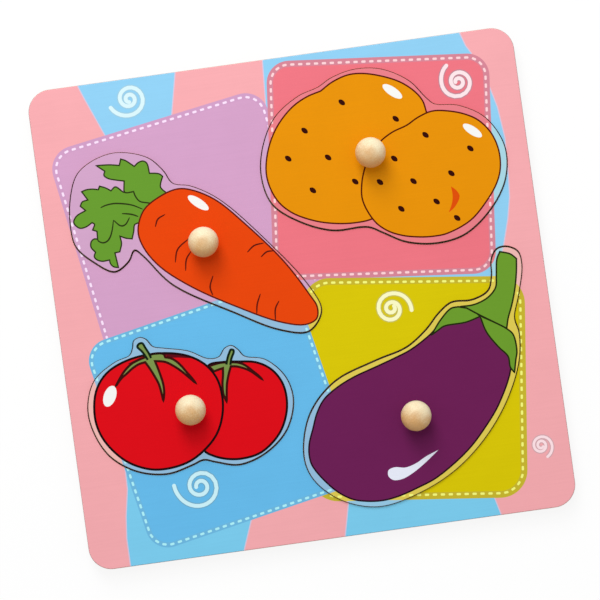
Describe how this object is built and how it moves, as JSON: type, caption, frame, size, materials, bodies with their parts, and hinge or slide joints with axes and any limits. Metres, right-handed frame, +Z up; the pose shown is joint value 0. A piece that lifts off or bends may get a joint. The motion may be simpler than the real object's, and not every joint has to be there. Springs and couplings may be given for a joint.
{
  "type": "wooden peg puzzle",
  "caption": "Square wooden inset puzzle board printed with vegetables on stitched patches; each shaped piece lifts out by a round wooden knob.",
  "frame": {"origin": "middle of the board's flat underside", "axes": "+Z up out of the printed face, +X to the board's right edge and +Y to its top edge as it is looked at from above"},
  "size_m": [0.225, 0.222, 0.0244],
  "materials": {
    "backing_ply": "bare sanded plywood",
    "printed_frame": "plywood with a satin lacquered print",
    "printed_carrot": "plywood with a satin lacquered print",
    "printed_potatoes": "plywood with a satin lacquered print",
    "printed_tomatoes": "plywood with a satin lacquered print",
    "printed_eggplant": "plywood with a satin lacquered print",
    "knob_wood": "turned pale wood, clear satin lacquer",
    "screw_steel": "zinc plated"
  },
  "bodies": {
    "board": {"backing_board": "backing_ply", "frame_board": "printed_frame"},
    "carrot": {"carrot_piece": "printed_carrot", "carrot_knob": "knob_wood", "carrot_knob_screw": "screw_steel"},
    "potatoes": {"potatoes_piece": "printed_potatoes", "potatoes_knob": "knob_wood", "potatoes_knob_screw": "screw_steel"},
    "tomatoes": {"tomatoes_piece": "printed_tomatoes", "tomatoes_knob": "knob_wood", "tomatoes_knob_screw": "screw_steel"},
    "eggplant": {"eggplant_piece": "printed_eggplant", "eggplant_knob": "knob_wood", "eggplant_knob_screw": "screw_steel"}
  },
  "joints": [
    {"name": "carrot_lift", "type": "slide", "parent": "board", "child": "carrot", "axis": [0, 0, 1], "range_m": [0, 0.03]},
    {"name": "potatoes_lift", "type": "slide", "parent": "board", "child": "potatoes", "axis": [0, 0, 1], "range_m": [0, 0.03]},
    {"name": "tomatoes_lift", "type": "slide", "parent": "board", "child": "tomatoes", "axis": [0, 0, 1], "range_m": [0, 0.03]},
    {"name": "eggplant_lift", "type": "slide", "parent": "board", "child": "eggplant", "axis": [0, 0, 1], "range_m": [0, 0.03]}
  ]
}
